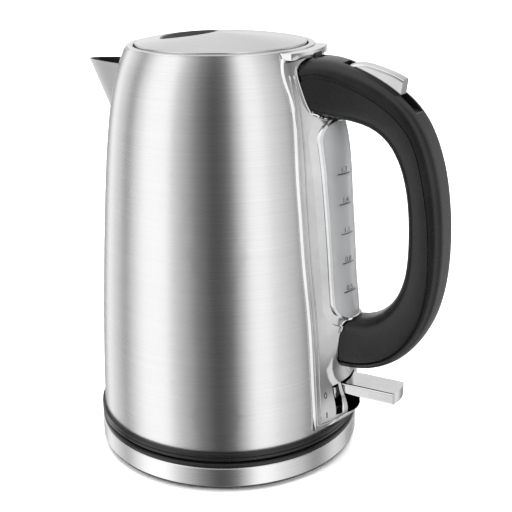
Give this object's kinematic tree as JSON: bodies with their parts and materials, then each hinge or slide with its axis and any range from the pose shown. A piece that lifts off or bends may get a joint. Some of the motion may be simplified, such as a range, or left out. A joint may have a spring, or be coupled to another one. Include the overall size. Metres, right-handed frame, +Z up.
{
  "type": "electric kettle",
  "caption": "Cordless electric kettle: brushed steel jug with hinged lid, short spout, water gauge and D handle, standing on a round swivelling power base.",
  "frame": {"origin": "on the jug axis, on the plane that the feet of the power base rest on", "axes": "+Z up along the jug axis, +X towards the handle, -X towards the spout"},
  "size_m": [0.2214, 0.155, 0.2393],
  "materials": {
    "brushed_steel": "brushed round the body, satin",
    "chrome_trim": "mirror bright plated plastic",
    "handle_black": "satin black moulded",
    "black_plastic": "moulded",
    "dark_grey_plastic": "moulded",
    "white_plastic": "moulded",
    "gauge_clear": "clear moulded",
    "grey_silicone": "silicone",
    "foot_rubber": "matte",
    "screw_steel": "zinc plated",
    "plain_steel": "bead finished",
    "contact_brass": "plain",
    "element_aluminium": "cast"
  },
  "bodies": {
    "power_base": {"base_bottom_cover": "black_plastic", "base_connector_tower": "black_plastic", "base_contacts": "contact_brass", "base_feet": "foot_rubber", "base_screws": "screw_steel", "base_steel_band": "brushed_steel", "base_top_shell": "black_plastic", "cord_clamp": "black_plastic", "cord_clamp_screws": "screw_steel", "cord_gland": "foot_rubber"},
    "jug_socket": {"jug_connector_socket": "black_plastic"},
    "jug": {"bimetal_discs": "contact_brass", "body_shell": "brushed_steel", "bottom_ring": "black_plastic", "button_pivot_pin": "screw_steel", "gauge_gasket": "grey_silicone", "gauge_window": "gauge_clear", "handle_bracket": "chrome_trim", "handle_inner_grip": "handle_black", "handle_outer_cover": "handle_black", "handle_screws": "screw_steel", "heating_element": "element_aluminium", "heating_plate": "plain_steel", "lever_bearing": "white_plastic", "lever_pivot_pin": "screw_steel", "lid_hinge_pin": "screw_steel", "lid_torsion_spring": "screw_steel", "button_spring": "screw_steel", "mouth_collar": "black_plastic", "plate_posts": "white_plastic", "plate_seal": "grey_silicone", "spout": "brushed_steel", "spout_filter": "white_plastic", "steam_switch": "white_plastic", "steam_tube": "white_plastic", "thermostat_control": "white_plastic", "underside_plate": "black_plastic", "underside_screws": "screw_steel"},
    "lid": {"lid_cap": "brushed_steel", "lid_inner_shell": "black_plastic", "lid_scoop": "dark_grey_plastic", "lid_seal": "grey_silicone"},
    "lid_latch": {"lid_latch": "black_plastic"},
    "release_button": {"release_button": "chrome_trim"},
    "switch_lever": {"switch_lever": "chrome_trim", "lever_carrier": "white_plastic"}
  },
  "joints": [
    {"name": "jug_lift", "type": "slide", "parent": "power_base", "child": "jug_socket", "axis": [0, 0, 1], "range_m": [0, 0.25]},
    {"name": "jug_swivel", "type": "hinge", "parent": "jug_socket", "child": "jug", "pos_m": [0, 0, 0.019], "axis": [0, 0, 1], "continuous": true},
    {"name": "lid_hinge", "type": "hinge", "parent": "jug", "child": "lid", "pos_m": [0.04, 0, 0.233], "axis": [0, 1, 0], "range_deg": [0, 50]},
    {"name": "release_button_press", "type": "hinge", "parent": "jug", "child": "release_button", "pos_m": [0.081, 0, 0.221], "axis": [0, 1, 0], "range_deg": [0, 7], "stiffness_Nm_per_rad": 0.6, "springref_deg": -5.73, "deforming": ["button_spring"]},
    {"name": "lid_latch_slide", "type": "slide", "parent": "jug", "child": "lid_latch", "axis": [1, 0, 0], "range_m": [0, 0.003]},
    {"name": "switch_lever_tip", "type": "hinge", "parent": "jug", "child": "switch_lever", "pos_m": [0.052, 0, 0.046], "axis": [0, 1, 0], "range_deg": [0, 17]}
  ],
  "couplings": [
    {"joint": "lid_latch_slide", "follows": "release_button_press", "m_per_rad": 0.024554}
  ]
}
